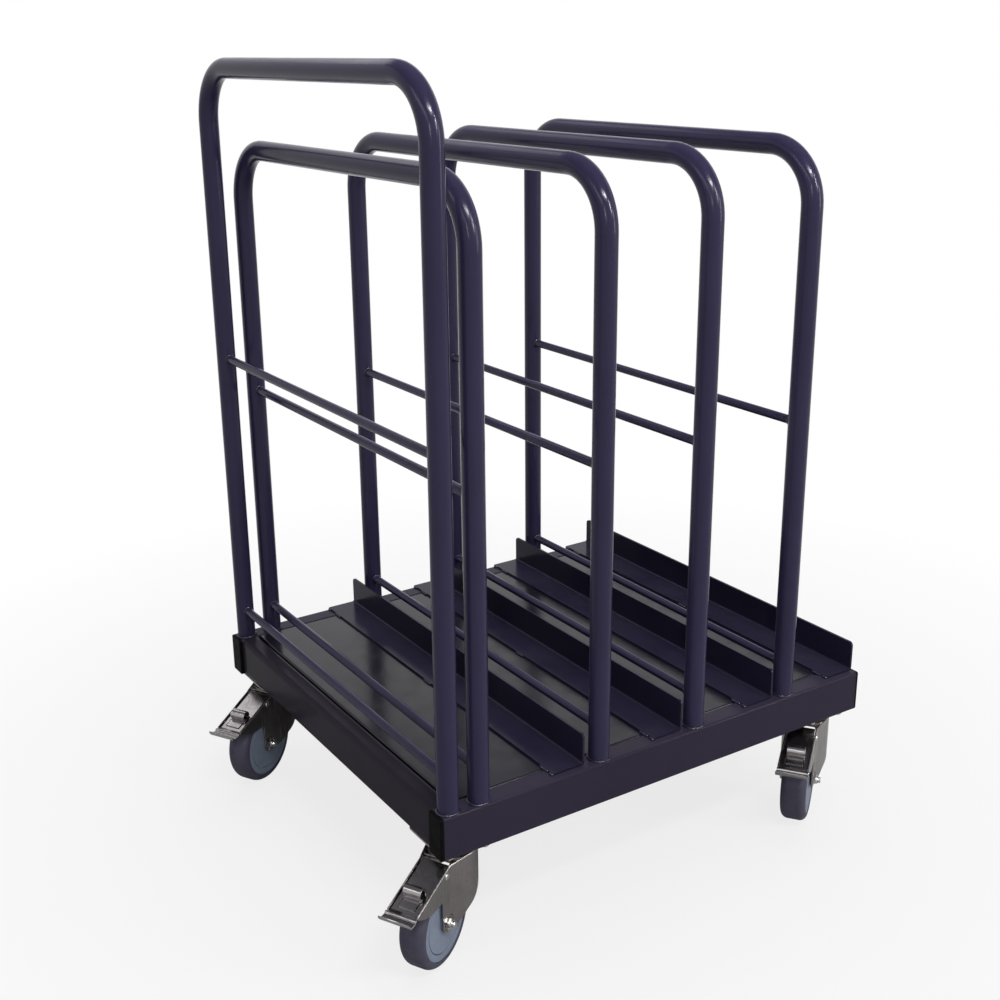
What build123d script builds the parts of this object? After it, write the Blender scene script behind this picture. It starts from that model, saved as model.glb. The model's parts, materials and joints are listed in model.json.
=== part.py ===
from build123d import *
from math import atan2, degrees
import os

# All sizes in millimetres. X runs along the cart, with the push handle at -X, and Z is up from the floor.

# Frame of rectangular tube with a sheet deck
FRAME_LENGTH = 710.0
FRAME_WIDTH = 640.0
MEMBER_HEIGHT = 60.0
MEMBER_WIDTH = 30.0
MEMBER_WALL = 2.5
SIDE_EDGE_RADIUS = 3.0
END_EDGE_RADIUS = 7.0
DECK_SHEET = 2.0
DECK_SKIRT = 25.0
DECK_BEND = 2.5
BEARER_SIZE = 30.0
BEARER_WALL = 2.0
BEARER_SPACING = 230.0
CORNER_PLATE = 5.0
CORNER_PLATE_MARGIN = 20.0

# Plastic caps in the open ends of the side members
CAP_FLANGE = 5.0
CAP_EDGE_RADIUS = 2.0
CAP_PLUG = 5.0
CAP_WALL = 2.0
CAP_CLEARANCE = 0.15

# Bent tube hoops, with heights above the deck measured to the tube and rod axes
TUBE_DIAMETER = 28.0
TUBE_WALL = 2.0
TUBE_BEND = 75.0
HANDLE_X = -340.0
HANDLE_RISE = 873.0
HANDLE_MIDDLE_ROD = 456.0
DIVIDER_X = (-295.0, -107.0, 55.0, 221.0)
DIVIDER_RISE = 760.0
DIVIDER_MIDDLE_ROD = 401.0
LOWER_ROD = 46.0
ROD_DIAMETER = 12.0

# Angle rails that stop the boards, placed by the outer face of the upright flange
RAIL_X = (-134.0, 31.0, 197.0, 355.0)
RAIL_HEIGHT = 45.0
RAIL_FLANGE = 50.0
RAIL_SHEET = 3.0
RAIL_BEND = 2.5
RAIL_CORNER = 6.0
RAIL_LENGTH = 630.0
RAIL_NEAR_INSET = 10.0

# Wheels
WHEEL_DIAMETER = 125.0
TYRE_WIDTH = 36.0
TYRE_SHOULDER = 10.0
RIM_DIAMETER = 102.0
RIM_INSET = 1.0
RIM_GAP = 0.05
HUB_BOSS_DIAMETER = 24.0
GUARD_DIAMETER = 82.0
GUARD_SHEET = 2.5
GUARD_GROOVE = 1.2
GUARD_INSET = 0.3

# Swivel heads
CROWN_GAP = 15.0
CROWN_SHEET = 3.0
LOWER_RACE = 3.6
RACE_GAP = 2.0
UPPER_RACE = 6.4
HEAD_DIAMETER = 66.0
RACE_DIAMETER = 60.0
BALL_DIAMETER = 6.0
BALL_CIRCLE = 51.0
BALL_COUNT = 18
BALL_CLEARANCE = 0.05
KINGPIN_DIAMETER = 12.0
KINGPIN_HEAD_DIAMETER = 20.0
KINGPIN_HEAD = 6.0
RUNNING_CLEARANCE = 0.05

# Caster top plates with their bolts and nuts
PLATE_LENGTH = 90.0
PLATE_WIDTH = 80.0
PLATE_SHEET = 3.0
PLATE_CORNER = 8.0
PLATE_HOLES_LONG = 66.0
PLATE_HOLES_SHORT = 54.0
PLATE_INSET = 3.0
BOLT_DIAMETER = 8.0
BOLT_HOLE = 9.0
BOLT_HEAD = 5.3
BOLT_FLATS = 13.0
BOLT_TAIL = 3.0
NUT_HEIGHT = 6.5

# Forks, seen from the side: forward is the way the brake pedal points
TRAIL = 51.5
CHEEK_GAP = 39.0
CHEEK_SHEET = 2.5
CHEEK_START = 45.0
FORK_LEG_RADIUS = 13.0
FORK_BACK_DROP = 16.0
FORK_BACK_BULGE = 9.0
NOSE_REACH = 75.0
NOSE_DROP = 25.0
NOSE_EDGE = 4.0
SLOPE_SETBACK = 9.0
LOBE_RISE = 38.0
LOBE_CORNER = 6.0
CROWN_BEND = 15.0
WAIST_RADIUS = 20.0
FORK_EDGE_RADIUS = 2.0
SLOT_SETBACK = 4.0
DIMPLE_DIAMETER = 22.0
DIMPLE_DEPTH = 1.8
DIMPLE_TAPER = 2.0
AXLE_DIAMETER = 8.0
AXLE_HEAD = 5.3
AXLE_FLATS = 13.0
AXLE_NUT = 8.0
AXLE_TAIL = 3.5
SIDE_PLAY = 0.3
OVERRUN = 5.0

# Brake pedals
PEDAL_SHEET = 2.5
PEDAL_RECESS = 3.0
PEDAL_SIDE_GAP = 1.0
PEDAL_PIN_DIAMETER = 5.0
PEDAL_PIN_HEAD = 1.5
PEDAL_PIN_HEAD_DIAMETER = 9.0
PEDAL_BARREL_DIAMETER = 8.0
PIVOT_DROP = 11.0
PIVOT_AHEAD = 2.0
PEDAL_TAIL = 12.0
PEDAL_LIP_AHEAD = 4.0
PEDAL_TOE_REACH = 19.8
PEDAL_TOE_DROP = 2.8
PEDAL_TOE_RISE = 9.0
PEDAL_TOE_BOW = 85.0
PEDAL_LOOP_RADIUS = 8.0
PEDAL_LOOP_WIDTH = 25.0
PEDAL_LOOP_PLACE = 32.0
PEDAL_LOOP_LIFT = 5.0
PEDAL_TONGUE_LENGTH = 16.0
PEDAL_TONGUE_GAP = 1.2
PEDAL_TONGUE_LIFT = 0.8
PEDAL_SWING = 10.0
BRAKE_GAP = 0.4
BRAKE_SHOE_AHEAD = 31.25
BRAKE_SHOE_LENGTH = 18.0
BRAKE_SHOE_DEPTH = 6.25
BRAKE_SHOE_WIDTH = 24.0

# Corner of the cart and direction of the brake pedal for each caster, as the cart was left standing
CASTERS = {
    "near_push": (-1, -1, 209.0),
    "far_push": (-1, 1, 210.5),
    "near_rear": (1, -1, 216.5),
    "far_rear": (1, 1, 213.0),
}

# Heights that follow from the caster
WHEEL_RADIUS = WHEEL_DIAMETER / 2
CROWN_UNDERSIDE = WHEEL_DIAMETER + CROWN_GAP
CROWN_TOP = CROWN_UNDERSIDE + CROWN_SHEET
RACE_FLOOR = CROWN_TOP + LOWER_RACE
RACE_ROOF = RACE_FLOOR + RACE_GAP
BALL_Z = (RACE_FLOOR + RACE_ROOF) / 2
PLATE_UNDERSIDE = RACE_ROOF + UPPER_RACE
FRAME_BASE = PLATE_UNDERSIDE + PLATE_SHEET
DECK_TOP = FRAME_BASE + MEMBER_HEIGHT

# Places that follow from the frame
POST_Y = (FRAME_WIDTH - MEMBER_WIDTH) / 2
BAY_X = FRAME_LENGTH / 2 - MEMBER_WIDTH
BAY_Y = FRAME_WIDTH / 2 - MEMBER_WIDTH
CASTER_X = (FRAME_LENGTH - MEMBER_WIDTH - PLATE_HOLES_SHORT) / 2
CASTER_Y = (FRAME_WIDTH - MEMBER_WIDTH - PLATE_HOLES_LONG) / 2 - PLATE_INSET
TUBE_RADIUS = TUBE_DIAMETER / 2
CHEEK_INNER = CHEEK_GAP / 2
CHEEK_OUTER = CHEEK_INNER + CHEEK_SHEET
SEAT_INNER = CHEEK_INNER - DIMPLE_DEPTH
SEAT_OUTER = CHEEK_OUTER - DIMPLE_DEPTH
HEAD_RADIUS = HEAD_DIAMETER / 2
RACE_RADIUS = RACE_DIAMETER / 2

nodes = {}


def box_between(low, high):
    """Box from one corner to the other."""
    size = [b - a for a, b in zip(low, high)]
    middle = [(a + b) / 2 for a, b in zip(low, high)]
    return Pos(*middle) * Box(*size)


def upright(radius, bottom, top):
    """Round bar on the Z axis."""
    return Pos(0, 0, (bottom + top) / 2) * Cylinder(radius, top - bottom)


def crosswise(radius, start, end):
    """Round bar along Y."""
    return Pos(0, (start + end) / 2, 0) * Rot(90, 0, 0) * Cylinder(radius, end - start)


def hexagon(flats, height):
    """Hexagonal prism that stands on the XY plane."""
    return extrude(RegularPolygon(flats / 3**0.5, 6), amount=height)


def box_tube(plane, width, height, wall, radius, length):
    """Rectangular tube, centred, with its section on the plane."""
    outer = RectangleRounded(width, height, radius)
    inner = RectangleRounded(width - 2 * wall, height - 2 * wall, max(radius - wall, 0.4))
    return extrude(plane * (outer - inner), amount=length / 2, both=True)


def corners(x, y):
    """The four places at plus and minus x and y."""
    return [(sx * x, sy * y) for sx in (-1, 1) for sy in (-1, 1)]


# Bolt places under the frame, with the height of the face that each nut sits on
bolt_places = []
for cx, cy in corners(CASTER_X, CASTER_Y):
    for dx, dy in corners(PLATE_HOLES_SHORT / 2, PLATE_HOLES_LONG / 2):
        in_corner = abs(cx + dx) < BAY_X and abs(cy + dy) < BAY_Y
        seat = FRAME_BASE + (CORNER_PLATE if in_corner else MEMBER_WALL)
        bolt_places.append((cx + dx, cy + dy, seat))
bolt_holes = [Pos(x, y, 0) * upright(BOLT_HOLE / 2, PLATE_UNDERSIDE - 1, seat + 1)
              for x, y, seat in bolt_places]

# Side members and end members
member_z = FRAME_BASE + MEMBER_HEIGHT / 2
end_x = (FRAME_LENGTH - MEMBER_WIDTH) / 2
side_tube = box_tube(Plane.YZ, MEMBER_WIDTH, MEMBER_HEIGHT, MEMBER_WALL, SIDE_EDGE_RADIUS, FRAME_LENGTH)
end_tube = box_tube(Plane.XZ, MEMBER_WIDTH, MEMBER_HEIGHT, MEMBER_WALL, END_EDGE_RADIUS, 2 * BAY_Y)
nodes["side_member_near"] = Pos(0, -POST_Y, member_z) * side_tube - bolt_holes
nodes["side_member_far"] = Pos(0, POST_Y, member_z) * side_tube - bolt_holes
nodes["end_member_push"] = Pos(-end_x, 0, member_z) * end_tube - bolt_holes
nodes["end_member_rear"] = Pos(end_x, 0, member_z) * end_tube - bolt_holes

# Deck sheet with turned-down edges, and the bearers under it
deck = box_between((-BAY_X, -BAY_Y, DECK_TOP - DECK_SKIRT), (BAY_X, BAY_Y, DECK_TOP))
deck = fillet(deck.faces().sort_by(Axis.Z)[-1].edges(), DECK_BEND)
deck -= box_between((DECK_SHEET - BAY_X, DECK_SHEET - BAY_Y, DECK_TOP - DECK_SKIRT - 1),
                    (BAY_X - DECK_SHEET, BAY_Y - DECK_SHEET, DECK_TOP - DECK_SHEET))
nodes["deck_sheet"] = deck
bearer = box_tube(Plane.XZ, BEARER_SIZE, BEARER_SIZE, BEARER_WALL, BEARER_WALL, 2 * (BAY_Y - DECK_SHEET))
bearer_z = DECK_TOP - DECK_SHEET - BEARER_SIZE / 2
nodes["deck_bearers"] = [Pos(s * BEARER_SPACING / 2, 0, bearer_z) * bearer for s in (-1, 1)]

# Corner plates for the inner caster bolts
plate_inner_x = CASTER_X - PLATE_HOLES_SHORT / 2 - CORNER_PLATE_MARGIN
plate_inner_y = CASTER_Y - PLATE_HOLES_LONG / 2 - CORNER_PLATE_MARGIN
corner_plate = box_between((plate_inner_x, plate_inner_y, FRAME_BASE),
                           (BAY_X, BAY_Y, FRAME_BASE + CORNER_PLATE))
corner_plate -= bolt_holes
corner_pair = [corner_plate, mirror(corner_plate, Plane.YZ)]
nodes["corner_plates"] = corner_pair + [mirror(plate, Plane.XZ) for plate in corner_pair]

# End caps with a hollow plug
cap = extrude(Plane.YZ * RectangleRounded(MEMBER_WIDTH, MEMBER_HEIGHT, SIDE_EDGE_RADIUS), amount=CAP_FLANGE)
cap = fillet(cap.faces().sort_by(Axis.X)[-1].edges(), CAP_EDGE_RADIUS)
plug_width = MEMBER_WIDTH - 2 * (MEMBER_WALL + CAP_CLEARANCE)
plug_height = MEMBER_HEIGHT - 2 * (MEMBER_WALL + CAP_CLEARANCE)
plug = RectangleRounded(plug_width, plug_height, max(SIDE_EDGE_RADIUS - MEMBER_WALL, 0.4))
plug -= Rectangle(plug_width - 2 * CAP_WALL, plug_height - 2 * CAP_WALL)
cap += extrude(Plane.YZ * plug, amount=-CAP_PLUG)
rear_caps = [Pos(FRAME_LENGTH / 2, s * POST_Y, member_z) * cap for s in (-1, 1)]
nodes["end_caps"] = rear_caps + [mirror(rear_cap, Plane.YZ) for rear_cap in rear_caps]


def hoop(x, rise):
    """Bent tube that stands on both side members."""
    top = DECK_TOP + rise
    path = FilletPolyline((x, -POST_Y, DECK_TOP), (x, -POST_Y, top), (x, POST_Y, top), (x, POST_Y, DECK_TOP),
                          radius=TUBE_BEND)
    foot = Pos(x, -POST_Y, DECK_TOP)
    tube = sweep(foot * Circle(TUBE_RADIUS), path=path)
    return tube - sweep(foot * Circle(TUBE_RADIUS - TUBE_WALL), path=path)


def rod(x, rise):
    """Cross rod between the posts of a hoop, with its ends shaped to the tube."""
    bar = Pos(x, 0, DECK_TOP + rise) * crosswise(ROD_DIAMETER / 2, -POST_Y, POST_Y)
    posts = [Pos(x, s * POST_Y, 0) * upright(TUBE_RADIUS, DECK_TOP, DECK_TOP + HANDLE_RISE) for s in (-1, 1)]
    return bar - posts


# Push handle, dividers and their rods
nodes["push_handle"] = hoop(HANDLE_X, HANDLE_RISE)
for number, x in enumerate(DIVIDER_X, 1):
    nodes[f"divider_{number}"] = hoop(x, DIVIDER_RISE)
nodes["lower_rods"] = [rod(x, LOWER_ROD) for x in (HANDLE_X, *DIVIDER_X)]
nodes["middle_rods"] = [rod(HANDLE_X, HANDLE_MIDDLE_ROD)] + [rod(x, DIVIDER_MIDDLE_ROD) for x in DIVIDER_X]

# Stop rails
rail_section = Polyline((-RAIL_FLANGE, 0), (0, 0), (0, RAIL_HEIGHT), (-RAIL_SHEET, RAIL_HEIGHT),
                        (-RAIL_SHEET, RAIL_SHEET), (-RAIL_FLANGE, RAIL_SHEET), close=True)
rail_section = make_face(rail_section)
outer_bend = rail_section.vertices().sort_by_distance((0, 0, 0))[0]
rail_section = fillet(outer_bend, RAIL_BEND + RAIL_SHEET)
inner_bend = rail_section.vertices().sort_by_distance((-RAIL_SHEET, RAIL_SHEET, 0))[0]
rail_section = fillet(inner_bend, RAIL_BEND)
rail = extrude(Plane.XZ * rail_section, amount=-RAIL_LENGTH)
rail_ends = rail.edges().filter_by(Axis.X).group_by(Axis.Z)[-1]
rail = fillet(rail_ends, RAIL_CORNER)
rail_start = RAIL_NEAR_INSET - FRAME_WIDTH / 2
for number, x in enumerate(RAIL_X, 1):
    nodes[f"stop_rail_{number}"] = Pos(x, rail_start, DECK_TOP) * rail

# Caster top plates with the upper half of the ball race
groove = Pos(0, 0, BALL_Z) * Torus(BALL_CIRCLE / 2, BALL_DIAMETER / 2 + BALL_CLEARANCE)
holes = [Pos(dx, dy, 0) * upright(BOLT_HOLE / 2, PLATE_UNDERSIDE - 1, FRAME_BASE + 1)
         for dx, dy in corners(PLATE_HOLES_SHORT / 2, PLATE_HOLES_LONG / 2)]
kingpin_bore = upright(KINGPIN_DIAMETER / 2 + RUNNING_CLEARANCE, 0, FRAME_BASE + 1)
top_plate = extrude(RectangleRounded(PLATE_WIDTH, PLATE_LENGTH, PLATE_CORNER), amount=PLATE_SHEET)
top_plate = Pos(0, 0, PLATE_UNDERSIDE) * top_plate - holes
top_plate += upright(RACE_RADIUS, RACE_ROOF, PLATE_UNDERSIDE)
top_plate = top_plate - groove - kingpin_bore

# Balls and kingpin
ball = Pos(BALL_CIRCLE / 2, 0, BALL_Z) * Sphere(BALL_DIAMETER / 2)
balls = [Rot(0, 0, 360 * k / BALL_COUNT) * ball for k in range(BALL_COUNT)]
kingpin_head_top = CROWN_UNDERSIDE - SIDE_PLAY
kingpin = upright(KINGPIN_DIAMETER / 2, kingpin_head_top, FRAME_BASE)
kingpin += upright(KINGPIN_HEAD_DIAMETER / 2, kingpin_head_top - KINGPIN_HEAD, kingpin_head_top)

# Caster bolts and nuts
nodes["caster_bolts"] = []
nodes["caster_nuts"] = []
for x, y, seat in bolt_places:
    tail = seat + NUT_HEIGHT + BOLT_TAIL
    bolt = upright(BOLT_DIAMETER / 2, PLATE_UNDERSIDE, tail)
    bolt += Pos(0, 0, PLATE_UNDERSIDE - BOLT_HEAD) * hexagon(BOLT_FLATS, BOLT_HEAD)
    nut = Pos(0, 0, seat) * hexagon(BOLT_FLATS, NUT_HEIGHT)
    nut -= upright(BOLT_DIAMETER / 2 + RUNNING_CLEARANCE, 0, tail)
    nodes["caster_bolts"].append(Pos(x, y, 0) * bolt)
    nodes["caster_nuts"].append(Pos(x, y, 0) * nut)

# Fork, drawn with X forward, its swivel axis at the origin and the floor at zero
nose = Vector(TRAIL + NOSE_REACH, CROWN_TOP - NOSE_DROP)
slope_start = Vector(HEAD_RADIUS + SLOPE_SETBACK, CROWN_TOP)
lobe_z = WHEEL_RADIUS + LOBE_RISE
leg_front = TRAIL + FORK_LEG_RADIUS
diagonal = FORK_LEG_RADIUS / 2**0.5
back_low = (-HEAD_RADIUS, CROWN_TOP - FORK_BACK_DROP)
knee = (TRAIL - 2.7 * FORK_LEG_RADIUS, WHEEL_RADIUS)
hip = ((back_low[0] + knee[0]) / 2 - FORK_BACK_BULGE, (back_low[1] + knee[1]) / 2)
shin = (TRAIL - 1.3 * FORK_LEG_RADIUS, WHEEL_RADIUS - 0.8 * FORK_LEG_RADIUS)
leg_bottom = (TRAIL, WHEEL_RADIUS - FORK_LEG_RADIUS)
leg_turn = (TRAIL + diagonal, WHEEL_RADIUS - diagonal)
lobe_bend = leg_front + 0.47 * (nose.X - leg_front)
lobe_end = (nose.X - 1, nose.Y - NOSE_EDGE)
lobe_sag = ((lobe_bend + lobe_end[0]) / 2, (lobe_z + lobe_end[1]) / 2 - 2)
side_view = [
    Line((slope_start.X, slope_start.Y), (-HEAD_RADIUS, CROWN_TOP)),
    Line((-HEAD_RADIUS, CROWN_TOP), back_low),
    ThreePointArc(back_low, hip, knee),
    ThreePointArc(knee, shin, leg_bottom),
    ThreePointArc(leg_bottom, leg_turn, (leg_front, WHEEL_RADIUS)),
    Line((leg_front, WHEEL_RADIUS), (leg_front, lobe_z)),
    Line((leg_front, lobe_z), (lobe_bend, lobe_z)),
    ThreePointArc((lobe_bend, lobe_z), lobe_sag, lobe_end),
    Line(lobe_end, (nose.X, nose.Y)),
    Line((nose.X, nose.Y), (slope_start.X, slope_start.Y)),
]
side_view = make_face(Curve() + side_view)
crotch = side_view.vertices().sort_by_distance((leg_front, lobe_z, 0))[0]
side_view = fillet(crotch, LOBE_CORNER)
crown_edge = side_view.vertices().sort_by_distance((slope_start.X, slope_start.Y, 0))[0]
side_view = fillet(crown_edge, CROWN_BEND)


def plan(inset, bottom, top):
    """Fork outline from above: a round head that narrows to two straight cheeks."""
    half = CHEEK_OUTER - inset
    length = nose.X + OVERRUN - CHEEK_START
    neck = Line((CHEEK_START, -half), (CHEEK_START, half))
    outline = make_hull([*Circle(HEAD_RADIUS - inset).edges(), neck])
    outline += Pos(CHEEK_START + length / 2, 0) * Rectangle(length, 2 * half)
    waist = [outline.vertices().sort_by_distance((CHEEK_START, s * half, 0))[0] for s in (-1, 1)]
    outline = fillet(waist, WAIST_RADIUS + inset)
    return Pos(0, 0, bottom) * extrude(outline, amount=top - bottom)


def dimple(side, seat, face):
    """Cone round the axle, from the seat of the nut out to the face of the leg."""
    rim = DIMPLE_DIAMETER / 2
    cone = Cone(rim - DIMPLE_TAPER, rim, face - seat)
    return axle_line * Pos(0, side * (seat + face) / 2, 0) * Rot(-90 * side, 0, 0) * cone


axle_line = Pos(TRAIL, 0, WHEEL_RADIUS)
pivot_line = Pos(TRAIL + PIVOT_AHEAD, 0, CROWN_TOP - PIVOT_DROP)
fork = extrude(Plane.XZ * side_view, amount=HEAD_RADIUS + 1, both=True) & plan(0, 0, CROWN_TOP)
shoulder_edges = [edge for edge in fork.edges()
                  if edge.bounding_box().min.Z > nose.Y - 0.1 and edge.bounding_box().size.X > 0.1
                  and edge.length > NOSE_EDGE]
fork = fillet(shoulder_edges, FORK_EDGE_RADIUS)
fork -= plan(CHEEK_SHEET, -1, CROWN_UNDERSIDE)
fork -= box_between((slope_start.X - SLOT_SETBACK, -CHEEK_INNER, CROWN_UNDERSIDE - OVERRUN),
                    (nose.X + OVERRUN, CHEEK_INNER, CROWN_TOP + OVERRUN))
fork += [dimple(s, SEAT_INNER, CHEEK_INNER) for s in (-1, 1)]
fork -= [dimple(s, SEAT_OUTER, CHEEK_OUTER) for s in (-1, 1)]
fork -= [axle_line * crosswise(DIMPLE_DIAMETER / 2, -HEAD_RADIUS, -CHEEK_OUTER),
         axle_line * crosswise(DIMPLE_DIAMETER / 2, CHEEK_OUTER, HEAD_RADIUS)]
fork += upright(RACE_RADIUS, CROWN_TOP, RACE_FLOOR)
fork = fork - groove - kingpin_bore
fork -= axle_line * crosswise(AXLE_DIAMETER / 2 + RUNNING_CLEARANCE, -CHEEK_OUTER - 1, CHEEK_OUTER + 1)
fork -= pivot_line * crosswise(PEDAL_PIN_DIAMETER / 2 + RUNNING_CLEARANCE, -CHEEK_OUTER - 1, CHEEK_OUTER + 1)

# Axle bolt and nut
axle_bolt = crosswise(AXLE_DIAMETER / 2, -SEAT_OUTER, SEAT_OUTER + AXLE_NUT + AXLE_TAIL)
axle_bolt += Pos(0, -SEAT_OUTER, 0) * Rot(90, 0, 0) * hexagon(AXLE_FLATS, AXLE_HEAD)
axle_bolt = axle_line * axle_bolt
axle_nut = Pos(0, SEAT_OUTER, 0) * Rot(-90, 0, 0) * hexagon(AXLE_FLATS, AXLE_NUT)
axle_nut -= crosswise(AXLE_DIAMETER / 2 + RUNNING_CLEARANCE, 0, 2 * CHEEK_OUTER)
axle_nut = axle_line * axle_nut

# Pedal pin with a head on each side
pin_heads = [crosswise(PEDAL_PIN_HEAD_DIAMETER / 2, -CHEEK_OUTER - PEDAL_PIN_HEAD, -CHEEK_OUTER),
             crosswise(PEDAL_PIN_HEAD_DIAMETER / 2, CHEEK_OUTER, CHEEK_OUTER + PEDAL_PIN_HEAD)]
pedal_pin = crosswise(PEDAL_PIN_DIAMETER / 2, -CHEEK_OUTER, CHEEK_OUTER) + pin_heads
pedal_pin = pivot_line * pedal_pin

# Brake pedal: a sloping plate on a barrel, a step and a toe, all bent from one sheet
slope = (nose - slope_start).normalized()
outward = Vector(-slope.Y, slope.X)
pedal_half = CHEEK_INNER - PEDAL_SIDE_GAP
sheet_line = slope_start - outward * (PEDAL_RECESS + PEDAL_SHEET / 2)
pivot = Vector(pivot_line.position.X, pivot_line.position.Z)
plate_start = sheet_line + slope * ((pivot.X - PEDAL_TAIL - sheet_line.X) / slope.X)
ramp = sheet_line + slope * ((nose.X - PEDAL_LIP_AHEAD - sheet_line.X) / slope.X)
lip = nose + slope * (PEDAL_LIP_AHEAD / slope.X) - outward * (PEDAL_SHEET / 2)
step = Vector(lip.X + 1.5, lip.Y - PEDAL_TOE_DROP)
toe_end = Vector(lip.X + PEDAL_TOE_REACH, lip.Y - PEDAL_TOE_DROP + PEDAL_TOE_RISE)
toe_bend = Vector(lip.X + 0.6 * PEDAL_TOE_REACH, step.Y)
pedal_points = [(point.X, point.Y) for point in (plate_start, ramp, lip, step, toe_bend, toe_end)]
pedal_view = trace(FilletPolyline(*pedal_points, radius=PEDAL_SHEET * 0.8), PEDAL_SHEET)
pedal = extrude(Plane.XZ * pedal_view, amount=CHEEK_OUTER, both=True)
for s in (-1, 1):
    pedal -= box_between((0, min(s * pedal_half, s * 2 * pedal_half), 0),
                         (nose.X + 2, max(s * pedal_half, s * 2 * pedal_half), CROWN_TOP))
pedal &= Pos(toe_end.X - PEDAL_TOE_BOW, 0, 0) * upright(PEDAL_TOE_BOW, 0, CROWN_TOP)
pedal += pivot_line * crosswise(PEDAL_BARREL_DIAMETER / 2, -pedal_half, pedal_half)

# Loop curled up from the plate, and the slot round its tongue
slope_angle = degrees(atan2(slope.Y, slope.X))
loop_centre = nose - slope * PEDAL_LOOP_PLACE + outward * (PEDAL_LOOP_LIFT - PEDAL_RECESS)
loop_ring = Circle(PEDAL_LOOP_RADIUS) - Circle(PEDAL_LOOP_RADIUS - PEDAL_SHEET)
loop_ring = Pos(loop_centre.X, loop_centre.Y) * Rot(0, 0, slope_angle) * loop_ring
pedal += extrude(Plane.XZ * loop_ring, amount=PEDAL_LOOP_WIDTH / 2, both=True)
slot_centre = loop_centre - outward * PEDAL_LOOP_LIFT
slot_centre += slope * (PEDAL_LOOP_RADIUS + PEDAL_TONGUE_LENGTH / 2)
slot_line = Plane.XZ * Pos(slot_centre.X, slot_centre.Y) * Rot(0, 0, slope_angle)
slot = slot_line * Rectangle(PEDAL_TONGUE_LENGTH, 3 * PEDAL_SHEET)
tongue_half = PEDAL_LOOP_WIDTH / 2 - PEDAL_TONGUE_GAP
tongue_place = Pos(-slope.X * PEDAL_TONGUE_GAP, 0, -slope.Y * PEDAL_TONGUE_GAP)
tongue_top = slot_line * Rectangle(PEDAL_TONGUE_LENGTH, 2 * PEDAL_TONGUE_LIFT)
tongue = tongue_place * extrude(slot, amount=tongue_half, both=True)
pedal -= extrude(slot, amount=PEDAL_LOOP_WIDTH / 2, both=True) - tongue
pedal += tongue_place * extrude(tongue_top, amount=tongue_half, both=True)

# Brake shoe under the plate, shaped to the tyre with the pedal pressed down
shoe_centre = sheet_line + slope * ((TRAIL + BRAKE_SHOE_AHEAD - sheet_line.X) / slope.X)
shoe_centre -= outward * (BRAKE_SHOE_DEPTH / 2)
shoe = Rot(0, 0, slope_angle) * Rectangle(BRAKE_SHOE_LENGTH, BRAKE_SHOE_DEPTH)
shoe = Pos(shoe_centre.X, shoe_centre.Y) * shoe
shoe = extrude(Plane.XZ * shoe, amount=BRAKE_SHOE_WIDTH / 2, both=True)
pressed_tyre = Pos(pivot.X, 0, pivot.Y) * Rot(0, -PEDAL_SWING, 0) * Pos(-pivot.X, 0, -pivot.Y) * axle_line
shoe -= pressed_tyre * crosswise(WHEEL_RADIUS + BRAKE_GAP, -TYRE_WIDTH, TYRE_WIDTH)
pedal += shoe
pedal -= pivot_line * crosswise(PEDAL_PIN_DIAMETER / 2 + RUNNING_CLEARANCE, -CHEEK_OUTER, CHEEK_OUTER)

# Tyre, hub and side discs
tyre = fillet(Cylinder(WHEEL_RADIUS, TYRE_WIDTH).edges(), TYRE_SHOULDER)
tyre = axle_line * Rot(90, 0, 0) * (tyre - Cylinder(RIM_DIAMETER / 2, TYRE_WIDTH))
rim_half = TYRE_WIDTH / 2 - RIM_INSET
guard_face = rim_half - GUARD_INSET
hub = crosswise(RIM_DIAMETER / 2 - RIM_GAP, -rim_half, rim_half)
pocket = GUARD_DIAMETER / 2 + GUARD_GROOVE
hub -= crosswise(pocket, guard_face - GUARD_SHEET, rim_half + 1)
hub -= crosswise(pocket, -rim_half - 1, GUARD_SHEET - guard_face)
boss_half = SEAT_INNER - SIDE_PLAY
hub += crosswise(HUB_BOSS_DIAMETER / 2, -boss_half, boss_half)
hub -= crosswise(AXLE_DIAMETER / 2 + RUNNING_CLEARANCE, -CHEEK_OUTER, CHEEK_OUTER)
hub = axle_line * hub
guard = crosswise(GUARD_DIAMETER / 2, guard_face - GUARD_SHEET, guard_face)
guard -= crosswise(HUB_BOSS_DIAMETER / 2 + RIM_GAP, 0, CHEEK_OUTER)
guards = [axle_line * guard, axle_line * mirror(guard, Plane.XZ)]

# The four casters: top plates, kingpins and balls stay with the frame, the rest swivels
nodes["kingpins"] = []
nodes["race_balls"] = []
for name, (side_x, side_y, heading) in CASTERS.items():
    spot = Pos(side_x * CASTER_X, side_y * CASTER_Y, 0)
    turned = spot * Rot(0, 0, heading)
    nodes[f"top_plate_{name}"] = spot * top_plate
    nodes["kingpins"].append(spot * kingpin)
    nodes["race_balls"] += [spot * ball for ball in balls]
    nodes[f"fork_{name}"] = turned * fork
    nodes[f"axle_bolt_{name}"] = turned * axle_bolt
    nodes[f"axle_nut_{name}"] = turned * axle_nut
    nodes[f"pedal_pin_{name}"] = turned * pedal_pin
    nodes[f"brake_pedal_{name}"] = turned * pedal
    nodes[f"tyre_{name}"] = turned * tyre
    nodes[f"hub_{name}"] = turned * hub
    nodes[f"side_discs_{name}"] = [turned * disc for disc in guards]

# One file for each node
os.makedirs("parts", exist_ok=True)
for name, shape in nodes.items():
    solids = shape if isinstance(shape, list) else [shape]
    solids = [solid for item in solids for solid in item.solids()]
    export_step(solids[0] if len(solids) == 1 else Compound(solids), f"parts/{name}.step")
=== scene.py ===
import json
import math

import bpy
from mathutils import Matrix, Vector


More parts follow.
